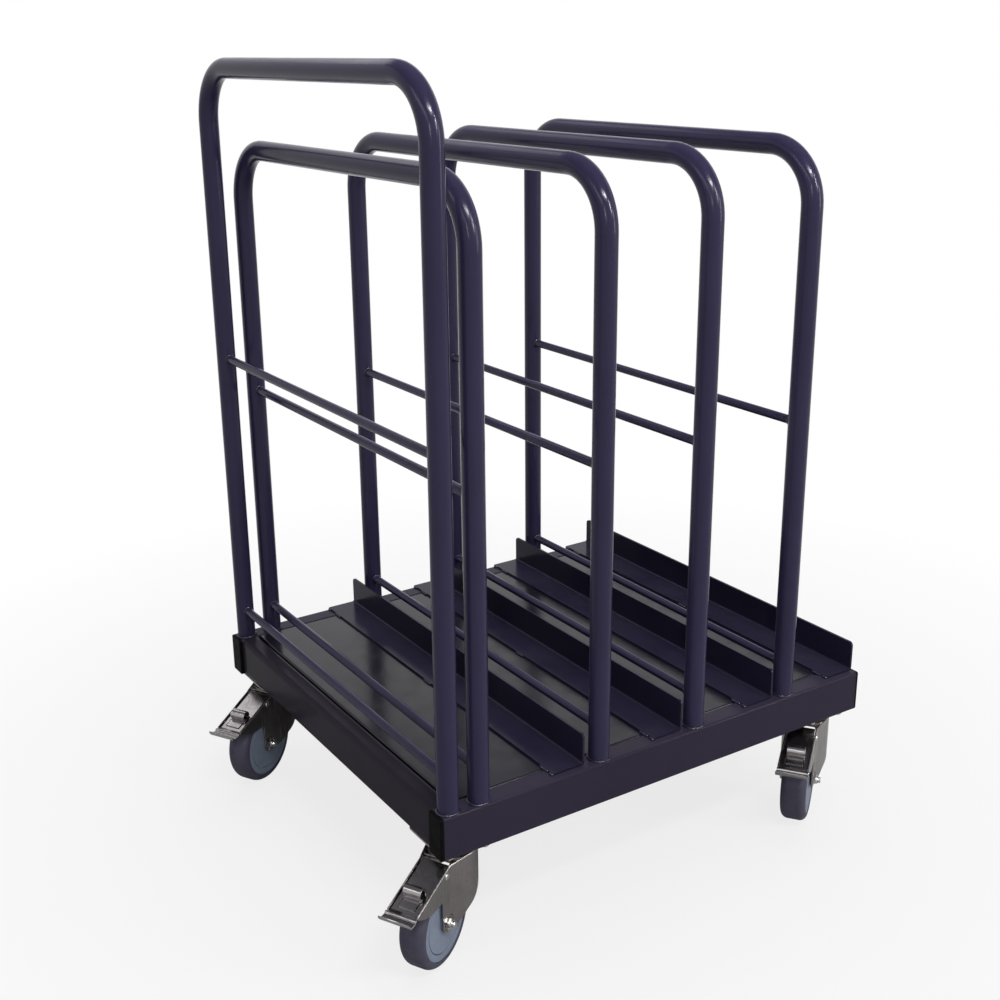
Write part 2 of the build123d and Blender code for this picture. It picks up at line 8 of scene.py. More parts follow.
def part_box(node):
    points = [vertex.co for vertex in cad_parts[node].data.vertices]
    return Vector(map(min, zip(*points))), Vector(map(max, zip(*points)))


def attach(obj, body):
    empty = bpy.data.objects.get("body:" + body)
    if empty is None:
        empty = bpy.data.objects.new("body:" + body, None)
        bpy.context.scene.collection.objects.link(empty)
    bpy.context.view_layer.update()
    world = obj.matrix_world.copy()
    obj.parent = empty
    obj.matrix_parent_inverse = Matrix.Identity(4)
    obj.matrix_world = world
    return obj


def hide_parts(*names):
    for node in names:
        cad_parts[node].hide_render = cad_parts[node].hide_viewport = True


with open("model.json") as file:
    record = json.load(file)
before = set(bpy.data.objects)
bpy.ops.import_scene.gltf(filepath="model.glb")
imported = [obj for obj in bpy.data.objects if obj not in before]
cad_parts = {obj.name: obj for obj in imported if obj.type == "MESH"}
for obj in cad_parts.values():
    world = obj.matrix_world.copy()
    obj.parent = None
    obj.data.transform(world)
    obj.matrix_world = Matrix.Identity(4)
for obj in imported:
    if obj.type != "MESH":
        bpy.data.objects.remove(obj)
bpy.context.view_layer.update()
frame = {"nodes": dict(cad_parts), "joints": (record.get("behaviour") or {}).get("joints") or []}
nodes = frame["nodes"]
joints = {joint["name"]: joint for joint in frame["joints"]}
scene = bpy.context.scene

RAIL_NAMES = ("stop_rail_1", "stop_rail_2", "stop_rail_3", "stop_rail_4")
CASTER_NAMES = ("near_push", "far_push", "near_rear", "far_rear")
PATTERN_CASTER = "far_rear"

# Sizes of the hoops and rods, in metres
DECK_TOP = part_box("deck_sheet")[1].z
POST_Y = 0.305
POST_RADIUS = 0.014
HOOP_X = (-0.340, -0.295, -0.107, 0.055, 0.221)
ROD_RADIUS = 0.006
LOWER_ROD_Z = DECK_TOP + 0.046
HANDLE_ROD_Z = DECK_TOP + 0.456
DIVIDER_ROD_Z = DECK_TOP + 0.401
MIDDLE_ROD_Z = (HANDLE_ROD_Z,) + (DIVIDER_ROD_Z,) * 4

# Points nearer than this count as one place
TOLERANCE = 1e-6


# Selecting and shaping

def deselect_all():
    """Leaves nothing selected, so that the next operator acts on the new piece alone."""
    bpy.ops.object.select_all(action="DESELECT")


def pick(piece):
    """Makes one piece the only selected and active one."""
    deselect_all()
    piece.select_set(True)
    bpy.context.view_layer.objects.active = piece


def named(name):
    """Names the piece that was just added."""
    piece = bpy.context.active_object
    piece.name = name
    piece.data.name = name
    return piece


def discard(*pieces):
    """Takes away pieces that served as a pattern or a tool."""
    for piece in pieces:
        bpy.data.objects.remove(piece)


def select_points(piece, wanted):
    """Goes into edit mode with those vertices selected whose place passes the test."""
    bpy.ops.object.mode_set(mode="EDIT")
    bpy.ops.mesh.select_mode(type="VERT")
    bpy.ops.mesh.select_all(action="DESELECT")
    bpy.ops.object.mode_set(mode="OBJECT")
    for vertex in piece.data.vertices:
        vertex.select = wanted(vertex.co)
    bpy.ops.object.mode_set(mode="EDIT")


def apply_place(piece):
    """Puts the piece's place, turn and size into its mesh."""
    pick(piece)
    bpy.ops.object.transform_apply(location=True, rotation=True, scale=True)


def copy_to(piece, name, place, turn=(0, 0, 0)):
    """Copy with its own mesh, turned about the origin and moved."""
    pick(piece)
    bpy.ops.object.duplicate(linked=False)
    twin = named(name)
    twin.rotation_euler = turn
    twin.location = place
    apply_place(twin)
    return twin


def new_cylinder(name, sides, radius, bottom, top):
    """Round or many-sided bar on Z, to be worked on."""
    deselect_all()
    bpy.ops.mesh.primitive_cylinder_add(vertices=sides, radius=radius, depth=top - bottom,
                                        location=(0, 0, (bottom + top) / 2))
    piece = named(name)
    apply_place(piece)
    return piece


def round_rim(piece, height, offset, segments):
    """Rounds the edges that lie at one height."""
    select_points(piece, lambda co: abs(co.z - height) < TOLERANCE)
    bpy.ops.mesh.bevel(offset=offset, segments=segments, profile=0.5, affect="EDGES")
    bpy.ops.object.mode_set(mode="OBJECT")


def apply_modifier(piece, kind, **settings):
    """Adds a modifier with its settings and applies it."""
    pick(piece)
    modifier = piece.modifiers.new(kind.lower(), kind)
    for setting, value in settings.items():
        setattr(modifier, setting, value)
    bpy.ops.object.modifier_apply(modifier=modifier.name)


def join(pieces, name):
    """Makes one piece of several."""
    deselect_all()
    for piece in pieces:
        piece.select_set(True)
    bpy.context.view_layer.objects.active = pieces[0]
    bpy.ops.object.join()
    return named(name)


def smooth(piece, degrees):
    """Shades the piece smooth, with edges sharper than the angle kept."""
    pick(piece)
    bpy.ops.object.shade_smooth_by_angle(angle=math.radians(degrees))


def coat(piece, finish):
    """Gives a piece one finish all over."""
    piece.data.materials.clear()
    piece.data.materials.append(finish)


def dress(piece, finish, body):
    """Gives a new piece its finish and its body."""
    coat(piece, finish)
    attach(piece, body)


# Finishes

DUST_TONE = (0.060, 0.056, 0.066)
SPECK_TONE = (0.070, 0.066, 0.080)
CAP_TONES = ((0.0034, 0.0031, 0.0036), (0.0060, 0.0056, 0.0064))
RUBBER_TONES = ((0.047, 0.043, 0.071), (0.064, 0.058, 0.096))
TREAD_DUST_TONE = (0.090, 0.082, 0.100)
NYLON_TONES = ((0.190, 0.228, 0.308), (0.224, 0.266, 0.352))
SCUFF_TONE = (0.115, 0.130, 0.155)


def finish_start(name):
    """New material, with its node tree, its shader and the piece's own coordinates."""
    material = bpy.data.materials.new(name)
    material.use_nodes = True
    tree = material.node_tree
    shader = tree.nodes["Principled BSDF"]
    place = tree.nodes.new("ShaderNodeTexCoord")
    return material, tree, shader, place.outputs["Object"]


def noise(tree, place, scale, detail=3.0, roughness=0.55, stretch=None):
    """Noise pattern at a scale, stretched along an axis where asked."""
    pattern = tree.nodes.new("ShaderNodeTexNoise")
    pattern.inputs["Scale"].default_value = scale
    pattern.inputs["Detail"].default_value = detail
    pattern.inputs["Roughness"].default_value = roughness
    if stretch:
        mapping = tree.nodes.new("ShaderNodeMapping")
        mapping.inputs["Scale"].default_value = stretch
        tree.links.new(place, mapping.inputs["Vector"])
        place = mapping.outputs["Vector"]
    tree.links.new(place, pattern.inputs["Vector"])
    return pattern.outputs["Fac"]


def darker(tone, share):
    """Tone with each part cut down to a share of itself."""
    return tuple(part * share for part in tone)


def ramp(tree, factor, low, high, start=0.3, end=0.7):
    """Colour that goes from low to high as the pattern goes from start to end."""
    band = tree.nodes.new("ShaderNodeValToRGB")
    for number, (position, tone) in enumerate(((start, low), (end, high))):
        band.color_ramp.elements[number].position = position
        band.color_ramp.elements[number].color = (*tone, 1)
    tree.links.new(factor, band.inputs["Fac"])
    return band.outputs["Color"]


def span(tree, factor, low, high, start=0.3, end=0.7):
    """Number that goes from low to high as the pattern goes from start to end."""
    spread = tree.nodes.new("ShaderNodeMapRange")
    spread.inputs["From Min"].default_value = start
    spread.inputs["From Max"].default_value = end
    spread.inputs["To Min"].default_value = low
    spread.inputs["To Max"].default_value = high
    tree.links.new(factor, spread.inputs["Value"])
    return spread.outputs["Result"]


def tint(tree, factor, colour, tone):
    """Colour that goes over to a plain tone where the pattern is strong."""
    mixer = tree.nodes.new("ShaderNodeMix")
    mixer.data_type = "RGBA"
    share, first, second = [socket for socket in mixer.inputs if socket.enabled]
    tree.links.new(factor, share)
    tree.links.new(colour, first)
    second.default_value = (*tone, 1)
    return [socket for socket in mixer.outputs if socket.enabled][0]


def combine(tree, operation, first, second):
    """Two patterns made one: their product for MULTIPLY, the larger for MAXIMUM."""
    result = tree.nodes.new("ShaderNodeMath")
    result.operation = operation
    tree.links.new(first, result.inputs[0])
    tree.links.new(second, result.inputs[1])
    return result.outputs[0]


def bump(tree, shader, height, strength, distance, under=None):
    """Bump from a pattern, on top of another bump where given."""
    relief = tree.nodes.new("ShaderNodeBump")
    relief.inputs["Strength"].default_value = strength
    relief.inputs["Distance"].default_value = distance
    tree.links.new(height, relief.inputs["Height"])
    if under:
        tree.links.new(under, relief.inputs["Normal"])
    tree.links.new(relief.outputs["Normal"], shader.inputs["Normal"])
    return relief.outputs["Normal"]


def upward(tree, start, end):
    """Pattern that is 1 on faces that look up and 0 on the others."""
    geometry = tree.nodes.new("ShaderNodeNewGeometry")
    parts = tree.nodes.new("ShaderNodeSeparateXYZ")
    tree.links.new(geometry.outputs["Normal"], parts.inputs["Vector"])
    return span(tree, parts.outputs["Z"], low=0, high=1, start=start, end=end)


def powder_coat(name, tone, gloss):
    """Anthracite powder coat: orange peel, faint colour drift, specks, and dust on faces that look up."""
    material, tree, shader, place = finish_start(name)
    drift = noise(tree, place, scale=5.0)
    colour = ramp(tree, drift, darker(tone, share=0.82), tone)
    dust_cloud = noise(tree, place, scale=11.0, detail=5.0, roughness=0.6)
    dust_cover = span(tree, dust_cloud, low=0.0, high=0.20, start=0.35, end=0.75)
    dust = combine(tree, "MULTIPLY", dust_cover, upward(tree, start=0.75, end=1.0))
    colour = tint(tree, dust, colour, DUST_TONE)
    dust_grain = noise(tree, place, scale=420.0, detail=4.0, roughness=0.7)
    specks = span(tree, dust_grain, low=0.0, high=0.16, start=0.62, end=0.78)
    colour = tint(tree, specks, colour, SPECK_TONE)
    tree.links.new(colour, shader.inputs["Base Color"])
    rough = span(tree, noise(tree, place, scale=26.0, detail=4.0), low=0.13, high=0.24)
    tree.links.new(rough, shader.inputs["Roughness"])
    shader.inputs["Specular IOR Level"].default_value = gloss
    peel = bump(tree, shader, noise(tree, place, scale=650.0, detail=2.0), strength=0.10, distance=0.0004)
    waves = noise(tree, place, scale=38.0, detail=2.0)
    bump(tree, shader, waves, strength=0.05, distance=0.0012, under=peel)
    return material


def cap_plastic():
    """Black moulded plastic with a fine grain."""
    material, tree, shader, place = finish_start("black_cap_plastic")
    colour = ramp(tree, noise(tree, place, scale=60.0), *CAP_TONES)
    tree.links.new(colour, shader.inputs["Base Color"])
    rough = span(tree, noise(tree, place, scale=90.0), low=0.42, high=0.55)
    tree.links.new(rough, shader.inputs["Roughness"])
    shader.inputs["Specular IOR Level"].default_value = 0.025
    bump(tree, shader, noise(tree, place, scale=1500.0, detail=2.0), strength=0.20, distance=0.0002)
    return material


def zinc_plate(name, tone, rough_low, rough_high):
    """Bright zinc plate: faint rolling streaks, small stains and soft waves."""
    material, tree, shader, place = finish_start(name)
    cloud = noise(tree, place, scale=32.0, detail=4.0)
    colour = ramp(tree, cloud, darker(tone, share=0.80), tone, start=0.32, end=0.68)
    spots = noise(tree, place, scale=130.0, detail=5.0, roughness=0.65)
    stain = span(tree, spots, low=0.0, high=0.40, start=0.60, end=0.80)
    colour = tint(tree, stain, colour, darker(tone, share=0.55))
    tree.links.new(colour, shader.inputs["Base Color"])
    shader.inputs["Metallic"].default_value = 1.0
    streaks = noise(tree, place, scale=240.0, detail=3.0, roughness=0.6, stretch=(1.0, 1.0, 0.08))
    tree.links.new(span(tree, streaks, rough_low, rough_high), shader.inputs["Roughness"])
    wave = bump(tree, shader, noise(tree, place, scale=55.0, detail=2.0), strength=0.05, distance=0.0010)
    bump(tree, shader, streaks, strength=0.05, distance=0.0002, under=wave)
    return material


def tread_rubber():
    """Dark grey rubber with a fine grain and a little floor dust."""
    material, tree, shader, place = finish_start("dark_tread_rubber")
    colour = ramp(tree, noise(tree, place, scale=45.0, detail=4.0), *RUBBER_TONES)
    dust_cloud = noise(tree, place, scale=85.0, detail=5.0, roughness=0.7)
    dust = span(tree, dust_cloud, low=0.0, high=0.45, start=0.52, end=0.78)
    colour = tint(tree, dust, colour, TREAD_DUST_TONE)
    tree.links.new(colour, shader.inputs["Base Color"])
    rough = span(tree, noise(tree, place, scale=70.0), low=0.50, high=0.68)
    tree.links.new(rough, shader.inputs["Roughness"])
    shader.inputs["Specular IOR Level"].default_value = 0.35
    bump(tree, shader, noise(tree, place, scale=900.0, detail=3.0), strength=0.25, distance=0.0003)
    return material


def hub_plastic():
    """Blue-grey moulded nylon with flow marks and scuffs."""
    material, tree, shader, place = finish_start("blue_grey_nylon")
    colour = ramp(tree, noise(tree, place, scale=38.0, detail=4.0), *NYLON_TONES)
    scuff_cloud = noise(tree, place, scale=150.0, detail=5.0, roughness=0.7)
    scuff = span(tree, scuff_cloud, low=0.0, high=0.35, start=0.60, end=0.80)
    colour = tint(tree, scuff, colour, SCUFF_TONE)
    tree.links.new(colour, shader.inputs["Base Color"])
    rough = span(tree, noise(tree, place, scale=60.0), low=0.36, high=0.50)
    tree.links.new(rough, shader.inputs["Roughness"])
    bump(tree, shader, noise(tree, place, scale=700.0, detail=2.0), strength=0.12, distance=0.0003)
    return material


PAINT = powder_coat("anthracite_powder_coat", tone=(0.0340, 0.0284, 0.0700), gloss=0.13)
# The rail, deck, side and end coats are darker copies of the tube paint: painted shade
RAIL_PAINT_SHADED = powder_coat("anthracite_rail_coat_painted_shade", tone=(0.0195, 0.0164, 0.0390), gloss=0.13)
DECK_PAINT_SHADED = powder_coat("anthracite_deck_coat_painted_shade", tone=(0.0060, 0.0049, 0.0125), gloss=0.32)
SIDE_PAINT_SHADED = powder_coat("anthracite_side_coat_painted_shade", tone=(0.0336, 0.0275, 0.0485), gloss=0.05)
END_PAINT_SHADED = powder_coat("anthracite_end_coat_painted_shade", tone=(0.0310, 0.0252, 0.0370), gloss=0.03)
# The weld coat is a glossier copy of the tube paint, and its darker tone is painted shade in the joints
WELD_PAINT_SHADED = powder_coat("anthracite_weld_coat_painted_shade", tone=(0.0200, 0.0165, 0.0400), gloss=0.35)
CAP = cap_plastic()
# Forks and top plates take a darker copy of the pedals' zinc plate: painted shade
FORK_ZINC_SHADED = zinc_plate("fork_zinc_plate_painted_shade", tone=(0.280, 0.259, 0.250), rough_low=0.16, rough_high=0.30)
PEDAL_ZINC = zinc_plate("pedal_zinc_plate", tone=(0.360, 0.338, 0.340), rough_low=0.17, rough_high=0.26)
BRIGHT = zinc_plate("bright_nut_steel", tone=(0.620, 0.610, 0.600), rough_low=0.12, rough_high=0.24)
RUBBER = tread_rubber()
NYLON = hub_plastic()

# CAD pieces keep their shapes, and those not named here take the paint of the tubes; the deck, side
# members, end members and rails take darker copies of it, which are painted shade
finishes = {"deck_sheet": DECK_PAINT_SHADED, "end_caps": CAP}
for name in ("caster_nuts", "kingpins", "race_balls"):
    finishes[name] = BRIGHT
for side in ("near", "far"):
    finishes[f"side_member_{side}"] = SIDE_PAINT_SHADED
for end in ("push", "rear"):
    finishes[f"end_member_{end}"] = END_PAINT_SHADED
for rail in RAIL_NAMES:
    finishes[rail] = RAIL_PAINT_SHADED
for caster in CASTER_NAMES:
    finishes[f"axle_bolt_{caster}"] = BRIGHT
    finishes[f"tyre_{caster}"] = RUBBER
for name, node in nodes.items():
    coat(node, finishes.get(name, PAINT))


# Weld beads round the feet of the posts and the ends of the rods

FOOT_BEAD = 0.0021
FOOT_RING = POST_RADIUS + 0.0003
FOOT_RIPPLES = 26
FOOT_SQUASH = 0.92
FOOT_LIFT = 0.0004
FOOT_TURN = 9
ROD_BEAD = 0.0014
ROD_RING = ROD_RADIUS + 0.0002
ROD_RIPPLES = 14
ROD_END_Y = POST_Y - POST_RADIUS - 0.0003
ROD_TURN = 7
RIPPLE_RISE = 0.22
RIPPLE_WIDTH = 0.4
FACE_CLEARANCE = 0.0001
MEMBER_FACE_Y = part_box("side_member_far")[1].y - FACE_CLEARANCE


def ring_bead(name, ring, thickness, ripples):
    """Round weld bead about Z, with the ripples that a welder leaves."""
    deselect_all()
    bpy.ops.mesh.primitive_torus_add(major_radius=ring, minor_radius=thickness, major_segments=ripples * 3,
                                     minor_segments=10)
    bead = named(name)
    step = 2 * math.pi / ripples
    select_points(bead, lambda co: (math.atan2(co.y, co.x) / step + 0.5) % 1.0 < RIPPLE_WIDTH)
    bpy.ops.transform.shrink_fatten(value=thickness * RIPPLE_RISE)
    bpy.ops.object.mode_set(mode="OBJECT")
    smooth(bead, degrees=60)
    return bead


foot_bead = ring_bead("foot_bead", FOOT_RING, FOOT_BEAD, FOOT_RIPPLES)
foot_bead.scale = (1.0, FOOT_SQUASH, 1.0)
apply_place(foot_bead)
rod_bead = ring_bead("rod_bead", ROD_RING, ROD_BEAD, ROD_RIPPLES)
foot_welds = []
rod_welds = []
for x, middle_z in zip(HOOP_X, MIDDLE_ROD_Z):
    for side in (-1, 1):
        foot = (x, side * POST_Y, DECK_TOP + FOOT_LIFT)
        foot_welds.append(copy_to(foot_bead, "foot_weld", foot, (0, 0, x * FOOT_TURN)))
        for z in (LOWER_ROD_Z, middle_z):
            end = (x, side * ROD_END_Y, z)
            rod_welds.append(copy_to(rod_bead, "rod_weld", end, (math.pi / 2, x * ROD_TURN, 0)))
discard(foot_bead, rod_bead)

# The beads at the feet end at the outer faces of the side members
post_foot_welds = join(foot_welds, "post_foot_welds")
pick(post_foot_welds)
bpy.ops.object.mode_set(mode="EDIT")
for side in (-1, 1):
    bpy.ops.mesh.select_all(action="SELECT")
    bpy.ops.mesh.bisect(plane_co=(0, side * MEMBER_FACE_Y, 0), plane_no=(0, side, 0), clear_outer=True,
                        use_fill=True)
bpy.ops.object.mode_set(mode="OBJECT")
for welds in (post_foot_welds, join(rod_welds, "rod_end_welds")):
    dress(welds, WELD_PAINT_SHADED, "frame")


# Tacks along the free edge of each stop rail, and along the outer bend of each but the last

COIN_SIZE = 0.88
COIN_SPREAD = 0.12
COIN_SPREAD_STEP = 2.3
COIN_TILT = 0.12
COIN_TILT_STEP = 1.7
COIN_TURN_STEP = 0.4
COIN_UNDERSIDE = 0.3
TACK_LIFT = 0.0006
EDGE_STANDOFF = 0.0004
EDGE_SHORT_INSETS = (0.004, 0.005)
EDGE_LONG_INSETS = (0.019, 0.034)
EDGE_MIDDLE_Y = 0.002
EDGE_SWAY = 0.03
EDGE_SWAY_STEP = 40
BEND_SETBACK = 0.0022
BEND_INSETS = (0.12, 0.13)
BEND_MIDDLE_Y = 0.07


def tack_weld(name, coins, pitch, radius):
    """Short weld along Y made of overlapping coins, nearly flat underneath."""
    parts = []
    for number in range(coins):
        size = radius * (COIN_SIZE + COIN_SPREAD * math.cos(number * COIN_SPREAD_STEP))
        deselect_all()
        bpy.ops.mesh.primitive_uv_sphere_add(segments=14, ring_count=8, radius=size)
        coin = named("coin")
        select_points(coin, lambda co: co.z < -TOLERANCE)
        bpy.ops.transform.resize(value=(1.0, 1.0, COIN_UNDERSIDE), center_override=(0, 0, 0))
        bpy.ops.object.mode_set(mode="OBJECT")
        coin.rotation_euler = (COIN_TILT * math.sin(number * COIN_TILT_STEP), 0, number * COIN_TURN_STEP)
        coin.location = (0, (number - (coins - 1) / 2) * pitch, 0)
        apply_place(coin)
        parts.append(coin)
    tack = join(parts, name)
    smooth(tack, degrees=60)
    return tack


long_tack = tack_weld("long_tack", coins=7, pitch=0.0021, radius=0.0026)
short_tack = tack_weld("short_tack", coins=3, pitch=0.0019, radius=0.0028)
rail_welds = []
for rail in RAIL_NAMES:
    low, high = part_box(rail)
    edge_tacks = ((short_tack, low.y + EDGE_SHORT_INSETS[0]), (long_tack, low.y + EDGE_LONG_INSETS[0]),
                  (long_tack, EDGE_MIDDLE_Y), (long_tack, high.y - EDGE_LONG_INSETS[1]),
                  (short_tack, high.y - EDGE_SHORT_INSETS[1]))
    for tack, y in edge_tacks:
        place = (low.x - EDGE_STANDOFF, y, low.z + TACK_LIFT)
        sway = EDGE_SWAY * math.sin(y * EDGE_SWAY_STEP)
        rail_welds.append(copy_to(tack, "rail_weld", place, (0, 0, sway)))
    if rail != RAIL_NAMES[-1]:
        for y in (low.y + BEND_INSETS[0], BEND_MIDDLE_Y, high.y - BEND_INSETS[1]):
            place = (high.x - BEND_SETBACK, y, low.z + TACK_LIFT)
            rail_welds.append(copy_to(long_tack, "rail_weld", place))
discard(long_tack, short_tack)
dress(join(rail_welds, "rail_tack_welds"), WELD_PAINT_SHADED, "frame")


# Nuts, pins, race shields and bolts of the casters

CORNER_CUT = 0.10
TURNING_MARGIN = 1.01
CREST_SHARE = 0.30
CHEEK_OUTER = 0.022
SEAT_OUTER = 0.0202
AXLE_FLATS = 0.013
AXLE_RADIUS = 0.004
AXLE_PITCH = 0.00115
AXLE_CRESTS = 3
AXLE_NUT = 0.008
NUT_HEXAGON = AXLE_NUT * 0.74
COLLAR_FOOT = AXLE_NUT * 0.5
COLLAR_RADIUS = AXLE_FLATS * 0.445
COLLAR_LIP = AXLE_FLATS * 0.09
COLLAR_ROUNDING = AXLE_FLATS * 0.035
COLLAR_SINK = 0.0007
PIN_RADIUS = 0.0025
PIN_HEAD_RADIUS = 0.0045
PIN_HEAD = 0.0015
PIN_DOME = PIN_HEAD * 0.85
RACE_RADIUS = 0.030
SHIELD_RADIUS = RACE_RADIUS + 0.0014
SHIELD_HEIGHT = 0.0054
SHIELD_WALL = 0.0013
SHIELD_ROUNDING = 0.0004
SHIELD_DROP = 0.001
PLATE_SHEET = 0.003
BOLT_X = 0.027
BOLT_Y = 0.033
BOLT_FLATS = 0.013
BOLT_HEAD = 0.0053
BOLT_HEAD_DROP = 0.0012
BOLT_RADIUS = 0.004
BOLT_FOOT = -0.002
BOLT_LENGTH = 0.015
BOLT_CHAMFER = 0.0008
BOLT_TURN_X = 17
BOLT_TURN_Y = 29
WASHER = 0.0013
WASHER_RADIUS = BOLT_FLATS * 0.62
WASHER_ROUNDING = 0.0004


def heading(caster):
    """Turn about Z of a caster, from the direction of its wheel axle."""
    axis = joints[f"roll_{caster}"]["axis"]
    return math.atan2(-axis[0], axis[1])


def hex_blank(name, flats, height):
    """Hexagon that stands on zero, with its corners turned off at both ends."""
    corner = flats / math.sqrt(3)
    blank = new_cylinder(name, sides=6, radius=corner, bottom=0, top=height)
    turning = new_cylinder("turning", sides=48, radius=corner * TURNING_MARGIN, bottom=0, top=height)
    for rim in (0, height):
        round_rim(turning, rim, offset=flats * CORNER_CUT, segments=1)
    apply_modifier(blank, "BOOLEAN", operation="INTERSECT", object=turning, solver="EXACT")
    discard(turning)
    return blank


def thread(name, radius, start, pitch, turns):
    """Rings that stand for the crests of a screw thread."""
    crests = []
    for number in range(turns):
        deselect_all()
        bpy.ops.mesh.primitive_torus_add(major_radius=radius, minor_radius=pitch * CREST_SHARE,
                                         major_segments=28, minor_segments=6,
                                         location=(0, 0, start + (number + 0.5) * pitch))
        crests.append(named("crest"))
        apply_place(crests[-1])
    return join(crests, name)


def lock_nut():
    """Lock nut on +Y with a rolled collar and the end of the axle's thread."""
    body = hex_blank("nut_body", AXLE_FLATS, NUT_HEXAGON)
    collar = new_cylinder("nut_collar", sides=40, radius=COLLAR_RADIUS, bottom=COLLAR_FOOT, top=AXLE_NUT)
    select_points(collar, lambda co: co.z > AXLE_NUT - TOLERANCE)
    bpy.ops.mesh.inset(thickness=COLLAR_LIP)
    bpy.ops.mesh.extrude_region_move(TRANSFORM_OT_translate={"value": (0, 0, -COLLAR_SINK)})
    bpy.ops.object.mode_set(mode="OBJECT")
    round_rim(collar, AXLE_NUT, offset=COLLAR_ROUNDING, segments=3)
    crests = thread("nut_thread", AXLE_RADIUS, AXLE_NUT, AXLE_PITCH, AXLE_CRESTS)
    nut = join([body, collar, crests], "nut_pattern")
    smooth(nut, degrees=40)
    nut.rotation_euler = (-math.pi / 2, 0, 0)
    nut.location = (0, SEAT_OUTER, 0)
    apply_place(nut)
    return nut


def domed_pin():
    """Pin along Y with a domed rivet head at each end."""
    head_top = CHEEK_OUTER + PIN_HEAD
    shank = new_cylinder("pin_shank", sides=24, radius=PIN_RADIUS, bottom=-CHEEK_OUTER, top=CHEEK_OUTER)
    heads = []
    for turn in (0, math.pi):
        head = new_cylinder("pin_head", sides=32, radius=PIN_HEAD_RADIUS, bottom=CHEEK_OUTER, top=head_top)
        round_rim(head, head_top, offset=PIN_DOME, segments=5)
        head.rotation_euler = (turn, 0, 0)
        apply_place(head)
        heads.append(head)
    pin = join([shank] + heads, "pin_pattern")
    smooth(pin, degrees=40)
    pin.rotation_euler = (math.pi / 2, 0, 0)
    apply_place(pin)
    return pin


def race_shield():
    """Bright ring round the ball race, under the top plate."""
    deselect_all()
    bpy.ops.mesh.primitive_cylinder_add(vertices=72, radius=SHIELD_RADIUS, depth=SHIELD_HEIGHT,
                                        end_fill_type="NOTHING")
    ring = named("shield_pattern")
    apply_modifier(ring, "SOLIDIFY", thickness=SHIELD_WALL, offset=0.0)
    apply_modifier(ring, "BEVEL", width=SHIELD_ROUNDING, segments=2, limit_method="ANGLE")
    smooth(ring, degrees=40)
    return ring


def plate_bolt():
    """Hex bolt with a washer, head down, with the plate's underside at zero."""
    head = hex_blank("bolt_head", BOLT_FLATS, BOLT_HEAD)
    head.location = (0, 0, -BOLT_HEAD - BOLT_HEAD_DROP)
    apply_place(head)
    washer = new_cylinder("bolt_washer", sides=36, radius=WASHER_RADIUS, bottom=-WASHER, top=0)
    round_rim(washer, -WASHER, offset=WASHER_ROUNDING, segments=2)
    shank = new_cylinder("bolt_shank", sides=24, radius=BOLT_RADIUS, bottom=BOLT_FOOT, top=BOLT_LENGTH)
    round_rim(shank, BOLT_LENGTH, offset=BOLT_CHAMFER, segments=1)
    bolt = join([head, washer, shank], "bolt_pattern")
    smooth(bolt, degrees=35)
    return bolt


nut_pattern = lock_nut()
pin_pattern = domed_pin()
shield_pattern = race_shield()
bolt_pattern = plate_bolt()
bolts = []
for caster in CASTER_NAMES:
    turn = (0, 0, heading(caster))
    swivel = Vector(joints[f"swivel_{caster}"]["pos_m"])
    nut = copy_to(nut_pattern, f"lock_nut_{caster}", joints[f"roll_{caster}"]["pos_m"], turn)
    dress(nut, BRIGHT, f"swivel_{caster}")
    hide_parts(f"axle_nut_{caster}")
    pin = copy_to(pin_pattern, f"rivet_pin_{caster}", joints[f"brake_{caster}"]["pos_m"], turn)
    dress(pin, BRIGHT, f"swivel_{caster}")
    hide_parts(f"pedal_pin_{caster}")
    race, plate_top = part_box(f"top_plate_{caster}")
    place = (swivel.x, swivel.y, race.z - SHIELD_DROP)
    shield = copy_to(shield_pattern, f"race_shield_{caster}", place)
    dress(shield, BRIGHT, "frame")
    for dx in (-BOLT_X, BOLT_X):
        for dy in (-BOLT_Y, BOLT_Y):
            place = (swivel.x + dx, swivel.y + dy, plate_top.z - PLATE_SHEET)
            bolt_turn = (0, 0, dx * BOLT_TURN_X + dy * BOLT_TURN_Y)
            bolts.append(copy_to(bolt_pattern, "plate_bolt", place, bolt_turn))
plate_bolts = join(bolts, "plate_bolts")
dress(plate_bolts, BRIGHT, "frame")
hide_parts("caster_bolts")
discard(nut_pattern, pin_pattern, shield_pattern, bolt_pattern)


# Plates, forks, pedals, hubs and side discs with rounded edges

FORK_ROUNDING = 0.0006
PEDAL_ROUNDING = 0.00035
EDGE_ROUNDING = 0.0005
ROUNDING_SEGMENTS = 2
SHARP_ANGLE = math.radians(40)
FLAT_ANGLE = math.radians(0.5)


def hole_cuts(caster):
    """Planes through the holes in a caster's fork, each as a place and a direction."""
    axle = Vector(joints[f"roll_{caster}"]["axis"])
    along = Vector((axle.y, -axle.x, 0))
    swivel = joints[f"swivel_{caster}"]["pos_m"]
    return ((swivel, axle), (swivel, along), (joints[f"roll_{caster}"]["pos_m"], (0, 0, 1)),
            (joints[f"brake_{caster}"]["pos_m"], (0, 0, 1)))


